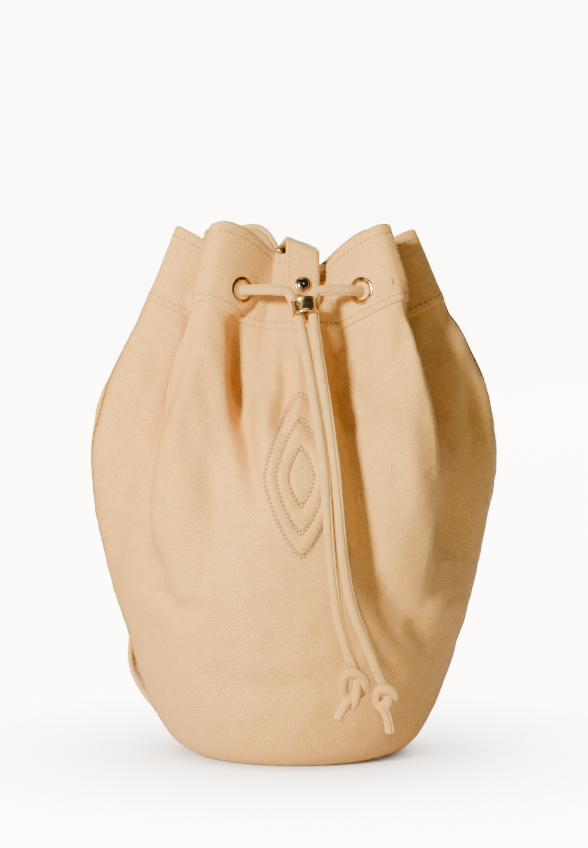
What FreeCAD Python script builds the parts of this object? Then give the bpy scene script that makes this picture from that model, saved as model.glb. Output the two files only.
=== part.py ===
import FreeCAD, Part
import Sketcher
import math
import os

# Drawstring bucket bag, in millimetres.
# +Z is up, +X is to the wearer's view right, and the front of the bag faces -Y.
# The origin is the middle of the flat base, on the surface that the bag stands on.
#
# The leather wall is one surface, wall_point(angle, level). The angle goes round the bag from the
# front (0) over the right side (90) to the back (180), and the level is the distance up the wall
# of a ridge. Six valleys are pulled into the wall at the mouth and fade towards the base.

Vector = FreeCAD.Vector
doc = FreeCAD.newDocument("bucket_bag")

# ---------------------------------------------------------------- driving dimensions

DIMENSIONS = [
    ("bag_height", 323.0, "base to the tip of a front ridge"),
    ("belly_half_width", 121.5, "widest half width"),
    ("base_half_width", 57.0, "flat base"),
    ("base_half_depth", 49.0, "flat base"),
    ("base_thickness", 2.4, "leather of the base"),
    ("board_thickness", 2.0, "stiffener inside the base"),
    ("leather", 2.0, "wall and band leather"),
    ("lining", 1.0, "cotton lining"),
    ("facing", 1.2, "leather behind the band"),
    ("clearance", 0.7, "gap between layers"),
    ("band_height", 43.0, "rim down to the band's seam"),
    ("foot_level", 0.6, "lower edge of the wall panels"),
    ("valley_drop", 20.0, "how much lower the rim is in a valley"),
    ("back_drop", 11.0, "how much lower the rim is at the back"),
    ("eyelet_level", 293.0, "level of the eyelet centres"),
    ("eyelet_bore", 4.7, "radius of the hole"),
    ("eyelet_barrel", 5.4, "outside radius of the barrel"),
    ("eyelet_flange", 8.7, "outside radius of the flange"),
    ("eyelet_bevel", 0.5, "height of the flange's straight edge"),
    ("eyelet_crown", 1.4, "height of the flange"),
    ("eyelet_grip", 3.9, "leather and facing that the barrel passes"),
    ("washer_thickness", 0.8, "rolled washer inside the bag"),
    ("cord_radius", 3.2, "drawstring"),
    ("cord_spacing", 6.6, "between the two hanging cords"),
    ("slider_bore", 7.0, "radius of the hole in the slider ring"),
    ("slider_outside", 8.0, "outside radius of the slider ring"),
    ("slider_length", 9.5, "slider ring"),
    ("slider_edge", 0.45, "rounding of the slider ring"),
    ("tab_width", 19.0, "closure tab"),
    ("tab_thickness", 2.4, "closure tab"),
    ("tab_length", 46.0, "fold to the tip"),
    ("tab_shoulder", 31.0, "fold to where the taper starts"),
    ("tab_tip", 4.0, "width of the tip"),
    ("tab_hole", 1.7, "hole for the cap's post"),
    ("snap_level", 303.5, "level of the press stud"),
    ("snap_drop", 23.0, "fold down to the press stud"),
    ("snap_standoff", 2.9, "band to the back of the tab"),
    ("cap_radius", 5.0, "press stud cap"),
    ("cap_height", 2.2, "press stud cap"),
    ("cap_edge", 1.3, "rounding of the cap"),
    ("socket_radius", 4.4, "press stud socket"),
    ("socket_bore", 2.6, "hole that takes the stud"),
    ("socket_height", 1.5, "press stud socket"),
    ("stud_flange", 4.4, "foot of the stud"),
    ("stud_foot", 0.7, "foot of the stud"),
    ("stud_head", 2.0, "head of the stud"),
    ("stud_height", 1.5, "head above the foot"),
    ("post_radius", 1.4, "post through band and facing"),
    ("post_flange", 4.4, "washer inside the bag"),
    ("rivet_radius", 1.9, "small round rivet heads"),
    ("rivet_height", 1.5, "small round rivet heads"),
    ("strap_width", 20.0, "shoulder straps"),
    ("strap_thickness", 2.8, "shoulder straps"),
    ("piping_proud", 0.9, "side piping above the leather"),
]

sheet = doc.addObject("Spreadsheet::Sheet", "Sizes")
for row, (alias, value, meaning) in enumerate(DIMENSIONS, start=1):
    sheet.set("A%d" % row, meaning)
    sheet.set("B%d" % row, str(value))
    sheet.setAlias("B%d" % row, alias)
doc.recompute()


def size(alias):
    return float(sheet.get(alias))


# ---------------------------------------------------------------- the leather wall

# Half width up the wall: (level / bag_height, half width / belly_half_width).
SIDE_PROFILE = [
    (0.000, 0.477), (0.015, 0.556), (0.043, 0.626), (0.105, 0.708), (0.217, 0.807), (0.384, 0.930),
    (0.542, 1.000), (0.663, 0.963), (0.774, 0.848), (0.885, 0.700), (1.000, 0.576),
]
# The bag is flatter than it is wide: half depth / half width at the base and at the mouth.
DEPTH_RATIO_BASE = 0.87
DEPTH_RATIO_MOUTH = 0.77

# Valleys: angles where each begins, is full, is still full and ends, the angles of its two eyelets,
# its depth at the mouth, the level where it starts and how late it deepens on the way up.
VALLEYS = [
    {"name": "front", "angles": (-40, -17, 25, 47), "eyelets": (-28.5, 36),
     "depth": 30, "start": 110, "late": 1.8},
    {"name": "front_left", "angles": (-84, -64, -62, -43), "eyelets": (-69.5, -51),
     "depth": 32, "start": 60, "late": 1.5},
    {"name": "front_right", "angles": (50, 66, 70, 92), "eyelets": (56.5, 76),
     "depth": 36, "start": 80, "late": 1.2},
    {"name": "back_left", "angles": (-132, -112, -110, -90), "eyelets": (-122, -100),
     "depth": 26, "start": 90, "late": 2.0},
    {"name": "back_right", "angles": (98, 118, 120, 140), "eyelets": (108, 130),
     "depth": 26, "start": 90, "late": 2.0},
    {"name": "back", "angles": (142, 162, 190, 224), "eyelets": (152, 207),
     "depth": 28, "start": 110, "late": 2.0},
]
FULL_DEPTH_LEVEL = 300.0
DROP_START_LEVEL = 150.0
BACK_DROP_START_LEVEL = 100.0


def ease(x):
    x = min(max(x, 0.0), 1.0)
    return 0.5 - 0.5 * math.cos(math.pi * x)


def half_width(level):
    """Smooth curve through SIDE_PROFILE."""
    points = [(a * size_height, b * size_belly) for a, b in SIDE_PROFILE]
    level = min(max(level, 0.0), size_height)
    last = len(points) - 1
    i = 0
    while i < last - 1 and level > points[i + 1][0]:
        i += 1

    def slope(k):
        before = points[max(k - 1, 0)]
        after = points[min(k + 1, last)]
        return (after[1] - before[1]) / (after[0] - before[0])

    (x0, y0), (x1, y1) = points[i], points[i + 1]
    span = x1 - x0
    u = (level - x0) / span
    rise = (3 * u ** 2 - 2 * u ** 3) * (y1 - y0)
    bend = (u ** 3 - 2 * u ** 2 + u) * slope(i) + (u ** 3 - u ** 2) * slope(i + 1)
    return y0 + rise + span * bend


def half_depth(level):
    ratio = DEPTH_RATIO_BASE + (DEPTH_RATIO_MOUTH - DEPTH_RATIO_BASE) * level / size_height
    return half_width(level) * ratio


def valley_share(valley, angle):
    """1 on the floor of a valley, 0 outside it."""
    begin, full, still, end = valley["angles"]
    middle = 0.5 * (begin + end)
    angle = middle + (angle - middle + 180.0) % 360.0 - 180.0
    if angle < full:
        return ease((angle - begin) / (full - begin))
    if angle > still:
        return ease((end - angle) / (end - still))
    return 1.0


def wall_point(angle, level, folds=1.0):
    """Point of the leather's outer surface; folds=0 gives the smooth bag without valleys."""
    dent = 0.0
    share = 0.0
    for valley in VALLEYS:
        part = valley_share(valley, angle)
        grown = ease((level - valley["start"]) / (FULL_DEPTH_LEVEL - valley["start"]))
        dent += folds * part * valley["depth"] * grown ** valley["late"]
        share += folds * part
    drop = size_valley_drop * share
    drop *= ease((level - DROP_START_LEVEL) / (FULL_DEPTH_LEVEL - DROP_START_LEVEL))
    behind = 0.5 - 0.5 * math.cos(math.radians(angle))
    drop += size_back_drop * behind * ease((level - BACK_DROP_START_LEVEL) / 200.0)
    x = (half_width(level) - dent) * math.sin(math.radians(angle))
    y = -(half_depth(level) - dent) * math.cos(math.radians(angle))
    return Vector(x, y, level - drop)


def wall_normal(angle, level, folds=1.0):
    low = max(level - 0.5, 0.0)
    along = wall_point(angle + 0.3, level, folds) - wall_point(angle - 0.3, level, folds)
    up = wall_point(angle, level + 0.5, folds) - wall_point(angle, low, folds)
    return along.cross(up).normalize()


def off_wall(angle, level, outwards, folds=1.0):
    return wall_point(angle, level, folds) + wall_normal(angle, level, folds) * outwards


size_height = size("bag_height")
size_belly = size("belly_half_width")
size_valley_drop = size("valley_drop")
size_back_drop = size("back_drop")

# ---------------------------------------------------------------- helpers

finished = []


def finish(obj, label):
    """Name a finished sub-part; its label is its file's name."""
    obj.Label = label
    finished.append(obj)
    return obj


def spread(first, last, steps):
    return [first + (last - first) * i / steps for i in range(steps + 1)]


def fitted_face(grid):
    surface = Part.BSplineSurface()
    surface.interpolate(grid)
    return surface


def side_face(edge_a, edge_b):
    return Part.makeRuledSurface(edge_a, edge_b)


def slab(outer, inner):
    """Closed solid between two grids of points that match row by row."""
    top = fitted_face(outer)
    bottom = fitted_face(inner)

    def borders(surface):
        u0, u1, v0, v1 = surface.bounds()
        return [surface.uIso(u0), surface.uIso(u1), surface.vIso(v0), surface.vIso(v1)]

    faces = [top.toShape(), bottom.toShape()]
    for a, b in zip(borders(top), borders(bottom)):
        faces.append(side_face(a.toShape(), b.toShape()))
    shell = Part.Compound(faces)
    shell.sewShape(1e-4)
    solid = Part.Solid(shell.Shells[0] if shell.Shells else Part.Shell(shell.Faces))
    if solid.Volume < 0:
        solid.reverse()
    return solid


def feature(label, shape, placement=None):
    obj = doc.addObject("Part::Feature", label)
    obj.Shape = shape
    if placement:
        obj.Placement = placement
    return finish(obj, label)


def wall_slab(angles, levels, outside, inside):
    """Layer of the wall between two distances from the leather's outer surface."""
    outer = [[off_wall(a, level, outside) for level in levels] for a in angles]
    inner = [[off_wall(a, level, inside) for level in levels] for a in angles]
    return slab(outer, inner)


def ribbon(points, normals, width, thickness):
    """Flat strap along points, lying across the given normals."""
    outer, inner = [], []
    last = len(points) - 1
    for i, (point, normal) in enumerate(zip(points, normals)):
        along = points[min(i + 1, last)] - points[max(i - 1, 0)]
        side = along.cross(normal).normalize()
        up = side.cross(along).normalize()
        row = [side * (width * (k - 1) * 0.5) for k in range(3)]
        outer.append([point + up * (thickness * 0.5) + step for step in row])
        inner.append([point - up * (thickness * 0.5) + step for step in row])
    return slab(outer, inner)


def place_on(point, normal, across=Vector(1, 0, 0)):
    """Placement whose local Z is the normal and whose local X is as near as it can be to across."""
    side = (across - normal * across.dot(normal)).normalize()
    turned = normal.cross(side)
    matrix = FreeCAD.Matrix(
        side.x, turned.x, normal.x, point.x,
        side.y, turned.y, normal.y, point.y,
        side.z, turned.z, normal.z, point.z,
        0, 0, 0, 1)
    return FreeCAD.Placement(matrix)


def primitive(kind, name, **expressions):
    obj = doc.addObject("Part::" + kind, name)
    for prop, expression in expressions.items():
        obj.setExpression(prop, expression)
    return obj


def boolean(kind, name, *parts):
    obj = doc.addObject("Part::" + kind, name)
    if kind in ("Cut", "Common"):
        obj.Base, obj.Tool = parts
    else:
        obj.Shapes = list(parts)
    return obj


def circle_edges(shape, radius, above=-1.0):
    """Round edges of a turned shape, listed for a fillet."""
    listed = []
    for index, edge in enumerate(shape.Edges, start=1):
        if edge.Curve.TypeId == "Part::GeomCircle" and edge.CenterOfMass.z > above:
            listed.append((index, radius, radius))
    return listed


def origin_plane(body, role):
    for item in body.Origin.OriginFeatures:
        if item.Role == role:
            return item
    raise ValueError(role)


def polygon_sketch(body, name, role, corners):
    """Closed outline whose corner distances are expressions; '0' keeps a corner on its axis."""
    sketch = body.newObject("Sketcher::SketchObject", name)
    sketch.AttachmentSupport = [(origin_plane(body, role), "")]
    sketch.MapMode = "FlatFace"
    values = []
    for x, y in corners:
        values.append(Vector(sheet_value(x), sheet_value(y), 0))
    count = len(values)
    for i in range(count):
        sketch.addGeometry(Part.LineSegment(values[i], values[(i + 1) % count]), False)
    for i in range(count):
        sketch.addConstraint(Sketcher.Constraint("Coincident", i, 2, (i + 1) % count, 1))
    for i, (x, y) in enumerate(corners):
        for kind, text, axis in (("DistanceX", x, -2), ("DistanceY", y, -1)):
            if text == "0":
                sketch.addConstraint(Sketcher.Constraint("PointOnObject", i, 1, axis))
                continue
            number = sketch.addConstraint(Sketcher.Constraint(kind, -1, 1, i, 1, sheet_value(text)))
            sketch.setExpression("Constraints[%d]" % number, text)
    return sketch


def sheet_value(expression):
    """Value of a sum or difference of sheet cells, used as a sketch's starting size."""
    total = 0.0
    sign = 1.0
    for word in expression.split():
        if word in "+-":
            sign = -1.0 if word == "-" else 1.0
            continue
        factor = 1.0
        if "*" in word:
            number, word = word.split("*")
            factor = float(number)
        term = size(word.replace("Sizes.", "")) if "Sizes." in word else float(word)
        total += sign * factor * term
    return total


def revolved(label, corners):
    """Body turned about Z from (radius, height) corners."""
    body = doc.addObject("PartDesign::Body", label)
    sketch = polygon_sketch(body, label + "_profile", "XZ_Plane", corners)
    turn = body.newObject("PartDesign::Revolution", label + "_turn")
    turn.Profile = sketch
    turn.ReferenceAxis = (sketch, ["V_Axis"])
    turn.Angle = 360
    return body


# ---------------------------------------------------------------- base

def ellipse_pad(label, inset, bottom, thickness):
    """Flat oval piece of the base, smaller than the base by inset."""
    outline = primitive("Ellipse", label + "_outline",
                        MajorRadius="Sizes.base_half_width - %s" % inset,
                        MinorRadius="Sizes.base_half_depth - %s" % inset)
    pad = doc.addObject("Part::Extrusion", label)
    pad.Base = outline
    pad.DirMode = "Custom"
    pad.Dir = Vector(0, 0, 1)
    pad.Solid = True
    pad.setExpression("LengthFwd", thickness)
    pad.Placement = FreeCAD.Placement(Vector(0, 0, sheet_value(bottom)), FreeCAD.Rotation())
    return finish(pad, label)


ellipse_pad("base_panel", "0", "0", "Sizes.base_thickness")
ellipse_pad("base_board", "2", "Sizes.base_thickness + Sizes.clearance", "Sizes.board_thickness")
ellipse_pad("lining_base", "2.5",
            "Sizes.base_thickness + Sizes.clearance + Sizes.board_thickness + Sizes.clearance",
            "Sizes.lining")

# ---------------------------------------------------------------- wall panels, band and lining

SEAM_RIGHT = 95.0
SEAM_LEFT = -87.0
SEAM_GAP = 0.5
SEAM_TRIM = 3.0
PANELS = {
    "front": (SEAM_LEFT, SEAM_RIGHT),
    "back": (SEAM_RIGHT, SEAM_LEFT + 360.0),
}
band_level = size_height - size("band_height")
leather = size("leather")
gap = size("clearance")
lining = size("lining")
facing = size("facing")
lining_out = -leather - gap
FOOT_LEVELS = [2.0, 5.0, 9.0, 14.0, 24.0]


def panel_angles(name, extra=0.0):
    first, last = PANELS[name]
    return spread(first + SEAM_GAP + extra, last - SEAM_GAP - extra, 72)


def levels_between(low, high, step):
    return spread(low, high, max(2, int((high - low) / step)))


def eyelet_frames():
    """(point on the leather, outward normal) of the twelve eyelets, one on each valley side."""
    frames = []
    level = size("eyelet_level")
    for valley in VALLEYS:
        for angle in valley["eyelets"]:
            frames.append((wall_point(angle, level), wall_normal(angle, level)))
    return frames


TAB_X = 4.2
snap_angle = 7.6
snap_point = wall_point(snap_angle, size("snap_level"))
snap_normal = wall_normal(snap_angle, size("snap_level"))
snap_normal.x = 0.0
snap_normal.normalize()
snap_point.x = TAB_X


def drill(point, normal, bore, seat, outside, inside):
    """Tool that bores a hole and flattens both sides of the leather around it."""
    reach = 9.0
    hole = Part.makeCylinder(bore, 2 * reach, point - normal * reach, normal)
    front = Part.makeCylinder(seat, reach, point + normal * outside, normal)
    behind = Part.makeCylinder(seat, reach, point - normal * inside, normal * -1)
    return hole.fuse([front, behind])


def drilled(solid):
    """Band or facing with its eyelet holes and its press stud hole."""
    places = [(point, normal, "eyelet_barrel", "eyelet_flange") for point, normal in eyelet_frames()]
    places.append((snap_point, snap_normal, "post_radius", "stud_flange"))
    for point, normal, barrel, flange in places:
        tool = drill(point, normal, size(barrel) + 0.15, size(flange) + 0.4, -0.03, size("eyelet_grip"))
        if not solid.BoundBox.intersect(tool.BoundBox):
            continue
        if solid.distToShape(Part.Vertex(point))[0] > 5.0:
            continue
        core = Part.makeCylinder(size(barrel) - 0.1, 10.0, point - normal * 7.0, normal)
        for seam_turn in (0.0, 37.0, 111.0):
            turned = tool.copy()
            turned.rotate(point, normal, seam_turn)
            pieces = sorted(solid.cut(turned).Solids, key=lambda piece: piece.Volume)
            if pieces and pieces[-1].common(core).Volume < 0.1:
                solid = pieces[-1]
                break
        else:
            raise RuntimeError("a hole in the band cuts nothing")
    return solid


wall_levels = [size("foot_level")] + FOOT_LEVELS + levels_between(36.0, band_level, 15.0)
band_levels = levels_between(band_level + gap, size_height, 6.0)
lining_levels = [9.0, 14.0, 24.0] + levels_between(36.0, band_level, 15.0)[:-1]
lining_levels.append(band_level - 4.0)
facing_levels = levels_between(band_level - 3.5, size_height - 0.6, 6.0)
for side in PANELS:
    feature("body_" + side, wall_slab(panel_angles(side), wall_levels, 0.0, -leather))
    band = wall_slab(panel_angles(side), band_levels, 0.0, -leather)
    feature("band_" + side, drilled(band))
    inner_face = wall_slab(panel_angles(side, SEAM_TRIM), facing_levels, lining_out, lining_out - facing)
    feature("facing_" + side, drilled(inner_face))
    feature("lining_" + side,
            wall_slab(panel_angles(side, SEAM_TRIM), lining_levels, lining_out, lining_out - lining))

for side, seam in (("left", SEAM_LEFT), ("right", SEAM_RIGHT)):
    piping_angles = spread(seam - SEAM_GAP + 0.15, seam + SEAM_GAP - 0.15, 4)
    feature("side_piping_" + side,
            wall_slab(piping_angles, wall_levels, size("piping_proud"), -leather))

# ---------------------------------------------------------------- eyelets

EYELET_PROFILE = [
    ("Sizes.eyelet_bore", "0"),
    ("Sizes.eyelet_barrel", "0"),
    ("Sizes.eyelet_barrel", "Sizes.eyelet_grip"),
    ("Sizes.eyelet_flange", "Sizes.eyelet_grip"),
    ("Sizes.eyelet_flange", "Sizes.eyelet_grip + Sizes.eyelet_bevel"),
    ("Sizes.eyelet_flange - 1.2", "Sizes.eyelet_grip + Sizes.eyelet_crown"),
    ("Sizes.eyelet_barrel + 0.4", "Sizes.eyelet_grip + Sizes.eyelet_crown"),
    ("Sizes.eyelet_bore", "Sizes.eyelet_grip + Sizes.eyelet_bevel"),
]
washers = []
for number, (point, normal) in enumerate(eyelet_frames(), start=1):
    eyelet = revolved("eyelet_%02d" % number, EYELET_PROFILE)
    eyelet.Placement = place_on(point - normal * size("eyelet_grip"), normal, Vector(0, 0, 1))
    finish(eyelet, "eyelet_%02d" % number)
    low = point - normal * (size("eyelet_grip") + size("washer_thickness"))
    ring = Part.makeCylinder(size("eyelet_flange") - 0.6, size("washer_thickness") - 0.05, low, normal)
    bore = Part.makeCylinder(size("eyelet_bore"), 4.0, low - normal, normal)
    washers.append(ring.cut(bore))
feature("eyelet_washers", Part.makeCompound(washers))

# ---------------------------------------------------------------- drawstring

cord_radius = size("cord_radius")


def routed_path(points, report):
    """Straight runs joined by tangent arcs; an arc takes 0.45 of the shorter run beside it."""
    edges = []
    start = points[0]
    radii = []
    for before, corner, after in zip(points, points[1:], points[2:]):
        run_in = corner - before
        run_out = after - corner
        reach = 0.45 * min(run_in.Length, run_out.Length)
        a = corner - Vector(run_in).normalize() * reach
        b = corner + Vector(run_out).normalize() * reach
        half_turn = 0.5 * run_in.getAngle(run_out)
        radius = reach / math.tan(half_turn)
        radii.append(radius)
        towards = ((a + b) * 0.5 - corner).normalize()
        centre = corner + towards * (radius / math.cos(half_turn))
        middle = centre - towards * radius
        edges.append(Part.LineSegment(start, a).toShape())
        edges.append(Part.Arc(a, middle, b).toShape())
        start = b
    edges.append(Part.LineSegment(start, points[-1]).toShape())
    path = Part.Wire(edges)
    print(report, "length %.1f radii" % path.Length, " ".join("%.1f" % r for r in radii))
    return path


def tube(label, points, radius):
    path = routed_path(points, label)
    first = Vector(points[1] - points[0]).normalize()
    circle = Part.Wire(Part.Circle(points[0], first, radius).toShape())
    solid = path.makePipeShell([circle], True, False)
    expected = math.pi * radius ** 2 * path.Length
    print(label, "volume ratio %.4f" % (solid.Volume / expected))
    return feature(label, solid)


frames = eyelet_frames()
left_eyelet, left_axis = frames[0]
right_eyelet, right_axis = frames[1]
CORD_REACH = 8.0
JOIN_DEPTH = 2.0
SIDE_REACH = 10.0
SIDE_EYELETS = (3, 4, 5, 6)


def threaded(numbers):
    """Route through eyelets in the order that the cord meets them, outwards and inwards in turn."""
    points = []
    outwards = True
    for number in numbers:
        point, axis = frames[number - 1]
        step = SIDE_REACH if number in SIDE_EYELETS else CORD_REACH
        step = step if outwards else -step
        points.append(point - axis * step)
        points.append(point + axis * step)
        outwards = not outwards
    return points


# Eyelets left of the front valley, the back valley's span outside the tab, and the right side.
LEFT_SIDE = [4, 3, 8, 7, 12]
RIGHT_SIDE = [11, 10, 9, 6, 5]
loop_points = [left_eyelet - left_axis * JOIN_DEPTH, left_eyelet - left_axis * CORD_REACH]
loop_points += threaded(LEFT_SIDE)
back_out = loop_points[-1]
right_part = threaded(RIGHT_SIDE[::-1])
right_part.reverse()
across = right_part[0] - back_out
BACK_BULGE = 4.0
for share in (0.35, 0.65):
    loop_points.append(back_out + across * share + Vector(0, BACK_BULGE, 0))
loop_points += right_part
loop_points += [right_eyelet - right_axis * CORD_REACH, right_eyelet - right_axis * JOIN_DEPTH]
tube("drawstring_loop", loop_points, cord_radius)

# The two ends come out of the front eyelets, meet in the slider and hang down the front.
slider_centre = Vector(5.2, -57.0, 273.0)
slider_target = Vector(19.0, -97.0, 194.0)
cord_down = (slider_target - slider_centre).normalize()
half_space = Vector(size("cord_spacing") * 0.5, 0, 0)


def hanging_end(start, axis, side, hang):
    """Route from an eyelet to the slider, straight down to the belly and on to the knot."""
    first = start - axis * JOIN_DEPTH
    out = start + axis * 7.0
    bend = slider_centre - cord_down * 10.5 + half_space * side
    belly = slider_target + half_space * side
    towards = out + (bend - out) * 0.55 + Vector(0, -2.5, 1.0)
    return [first, out, towards, bend, belly] + hang


LEFT_HANG = [
    Vector(18.2, -101.5, 160.0), Vector(20.4, -102.5, 130.0), Vector(23.4, -102.0, 103.0),
    Vector(27.4, -100.8, 85.0), Vector(32.0, -99.8, 71.5),
]
RIGHT_HANG = [
    Vector(24.9, -101.5, 162.0), Vector(27.0, -102.5, 132.0), Vector(31.8, -102.0, 104.0),
    Vector(40.5, -100.5, 82.0), Vector(49.0, -99.5, 61.0),
]
left_route = hanging_end(left_eyelet, left_axis, -1, LEFT_HANG)
right_route = hanging_end(right_eyelet, right_axis, 1, RIGHT_HANG)
tube("drawstring_left", left_route, cord_radius)
tube("drawstring_right", right_route, cord_radius)


def knot(label, route, width, length, way, tail):
    """Plain barrel for a knot with the stub of cord below it."""
    end = route[-1]
    way.normalize()
    barrel = Part.makeCylinder(width * 0.5, length, end, way)
    barrel = barrel.makeFillet(2.5, [edge for edge in barrel.Edges if not edge.isSeam(barrel.Faces[0])])
    low = end + way * (length - 0.5)
    stub = Part.makeCylinder(cord_radius, tail.Length, low, tail)
    return feature(label, barrel.fuse(stub).removeSplitter())


knot("knot_left", left_route, 18.0, 28.5, Vector(0.05, 0, -1), Vector(-9.0, 0.0, -8.0))
knot("knot_right", right_route, 15.5, 17.0, Vector(0.2, 0, -1), Vector(2.0, 0.0, -16.0))

ring_outside = primitive("Cylinder", "slider_blank",
                         Radius="Sizes.slider_outside", Height="Sizes.slider_length")
ring_bore = primitive("Cylinder", "slider_hole",
                      Radius="Sizes.slider_bore", Height="Sizes.slider_length")
slider_tube = boolean("Cut", "slider_tube", ring_outside, ring_bore)
doc.recompute()
slider = doc.addObject("Part::Fillet", "cord_slider")
slider.Base = slider_tube
slider.Edges = circle_edges(slider_tube.Shape, size("slider_edge"))
slider.Placement = place_on(slider_centre - cord_down * (size("slider_length") * 0.5), cord_down)
finish(slider, "cord_slider")

# ---------------------------------------------------------------- closure tab and press stud

tab_down = snap_normal.cross(Vector(1, 0, 0)).normalize()
if tab_down.z > 0:
    tab_down = tab_down * -1
tab_back = snap_point + snap_normal * size("snap_standoff")
fold = tab_back - tab_down * size("snap_drop")

flap = doc.addObject("PartDesign::Body", "closure_tab")
flap_outline = polygon_sketch(flap, "tab_outline", "XY_Plane", [
    ("0", "0"),
    ("Sizes.tab_width", "0"),
    ("Sizes.tab_width", "Sizes.tab_shoulder"),
    ("0.5*Sizes.tab_width + 0.5*Sizes.tab_tip", "Sizes.tab_length"),
    ("0.5*Sizes.tab_width - 0.5*Sizes.tab_tip", "Sizes.tab_length"),
    ("0", "Sizes.tab_shoulder"),
])
flap_pad = flap.newObject("PartDesign::Pad", "tab_pad")
flap_pad.Profile = flap_outline
flap_pad.setExpression("Length", "Sizes.tab_thickness")
doc.recompute()
corner = Vector(TAB_X + 0.5 * size("tab_width"), fold.y, fold.z)
flap.Placement = FreeCAD.Placement(FreeCAD.Matrix(
    -1, tab_down.x, snap_normal.x, corner.x,
    0, tab_down.y, snap_normal.y, corner.y,
    0, tab_down.z, snap_normal.z, corner.z,
    0, 0, 0, 1))
hole_sketch = flap.newObject("Sketcher::SketchObject", "tab_hole_sketch")
hole_sketch.AttachmentSupport = [(origin_plane(flap, "XY_Plane"), "")]
hole_sketch.MapMode = "FlatFace"
hole_centre = Vector(0.5 * size("tab_width"), size("snap_drop"), 0)
hole_sketch.addGeometry(Part.Circle(hole_centre, Vector(0, 0, 1), size("tab_hole")), False)
for kind, value, text in (
        ("DistanceX", hole_centre.x, "0.5*Sizes.tab_width"),
        ("DistanceY", hole_centre.y, "Sizes.snap_drop")):
    number = hole_sketch.addConstraint(Sketcher.Constraint(kind, -1, 1, 0, 3, value))
    hole_sketch.setExpression("Constraints[%d]" % number, text)
number = hole_sketch.addConstraint(Sketcher.Constraint("Radius", 0, size("tab_hole")))
hole_sketch.setExpression("Constraints[%d]" % number, "Sizes.tab_hole")
doc.recompute()
before_hole = flap.Shape.Volume
tab_cut = flap.newObject("PartDesign::Pocket", "tab_hole_cut")
tab_cut.Profile = hole_sketch
tab_cut.Type = "ThroughAll"
tab_cut.Midplane = True
doc.recompute()
if flap.Shape.Volume >= before_hole:
    raise RuntimeError("the tab's hole cuts nothing")
finish(flap, "closure_tab")

# The root of the tab lies across the mouth and is sewn to the outside of the back band.
back_angle = 180.0 - 2.5
bridge = [
    Vector(TAB_X, fold.y + 0.9, fold.z + 0.2),
    Vector(TAB_X, fold.y + 6.0, fold.z + 1.6),
    Vector(TAB_X, fold.y + 18.0, fold.z - 0.4),
    Vector(TAB_X, fold.y + 34.0, fold.z - 6.0),
    Vector(TAB_X, fold.y + 45.0, fold.z - 10.5),
]
for level in (319.0, 310.0, 300.0, 290.0, 282.0):
    behind = off_wall(back_angle, level, 0.5 * size("tab_thickness") + 3.1)
    behind.x = TAB_X
    bridge.append(behind)
bridge_normals = []
for i in range(len(bridge)):
    along = bridge[min(i + 1, len(bridge) - 1)] - bridge[max(i - 1, 0)]
    bridge_normals.append(Vector(1, 0, 0).cross(along) * -1)
feature("closure_tab_root", ribbon(bridge, bridge_normals, size("tab_width"), size("tab_thickness")))

tab_front = tab_back + snap_normal * size("tab_thickness")
cap_blank = primitive("Cylinder", "cap_blank", Radius="Sizes.cap_radius", Height="Sizes.cap_height")
doc.recompute()
cap = doc.addObject("Part::Fillet", "snap_cap")
cap.Base = cap_blank
cap.Edges = circle_edges(cap_blank.Shape, size("cap_edge"), above=0.5 * size("cap_height"))
cap.Placement = place_on(tab_front + snap_normal * 0.02, snap_normal)
finish(cap, "snap_cap")

socket = revolved("snap_socket", [
    ("Sizes.socket_bore", "0"),
    ("Sizes.socket_radius", "0"),
    ("Sizes.socket_radius", "Sizes.socket_height"),
    ("Sizes.tab_hole - 0.1", "Sizes.socket_height"),
    ("Sizes.tab_hole - 0.1", "Sizes.socket_height - 0.2"),
    ("Sizes.socket_bore", "Sizes.socket_height - 0.2"),
])
socket.Placement = place_on(tab_back - snap_normal * (size("socket_height") + 0.02), snap_normal)
finish(socket, "snap_socket")

stud = revolved("snap_stud", [
    ("0", "0"),
    ("Sizes.post_radius", "0"),
    ("Sizes.post_radius", "Sizes.eyelet_grip"),
    ("Sizes.stud_flange", "Sizes.eyelet_grip"),
    ("Sizes.stud_flange", "Sizes.eyelet_grip + Sizes.stud_foot"),
    ("Sizes.stud_head", "Sizes.eyelet_grip + Sizes.stud_foot"),
    ("Sizes.stud_head", "Sizes.eyelet_grip + Sizes.stud_foot + Sizes.stud_height"),
    ("0", "Sizes.eyelet_grip + Sizes.stud_foot + Sizes.stud_height"),
])
stud.Placement = place_on(snap_point - snap_normal * size("eyelet_grip"), snap_normal)
finish(stud, "snap_stud")

post = primitive("Cylinder", "snap_post", Radius="Sizes.post_flange", Height="Sizes.washer_thickness")
post_low = snap_point - snap_normal * (size("eyelet_grip") + size("washer_thickness") + 0.05)
post.Placement = place_on(post_low, snap_normal)
finish(post, "snap_post")


def rivet(point, normal):
    """Round-headed rivet standing on a surface."""
    head = Part.makeCylinder(size("rivet_radius"), size("rivet_height"), point, normal)
    top = max(head.Edges, key=lambda edge: edge.CenterOfMass.dot(normal))
    return head.makeFillet(0.8, [top])


tab_rivet_foot = bridge[1] + Vector(-0.5 * size("tab_width") - 0.02, 0.5, 0)
feature("tab_rivet", rivet(tab_rivet_foot, Vector(-1, 0, 0)))

# ---------------------------------------------------------------- shoulder straps

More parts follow.
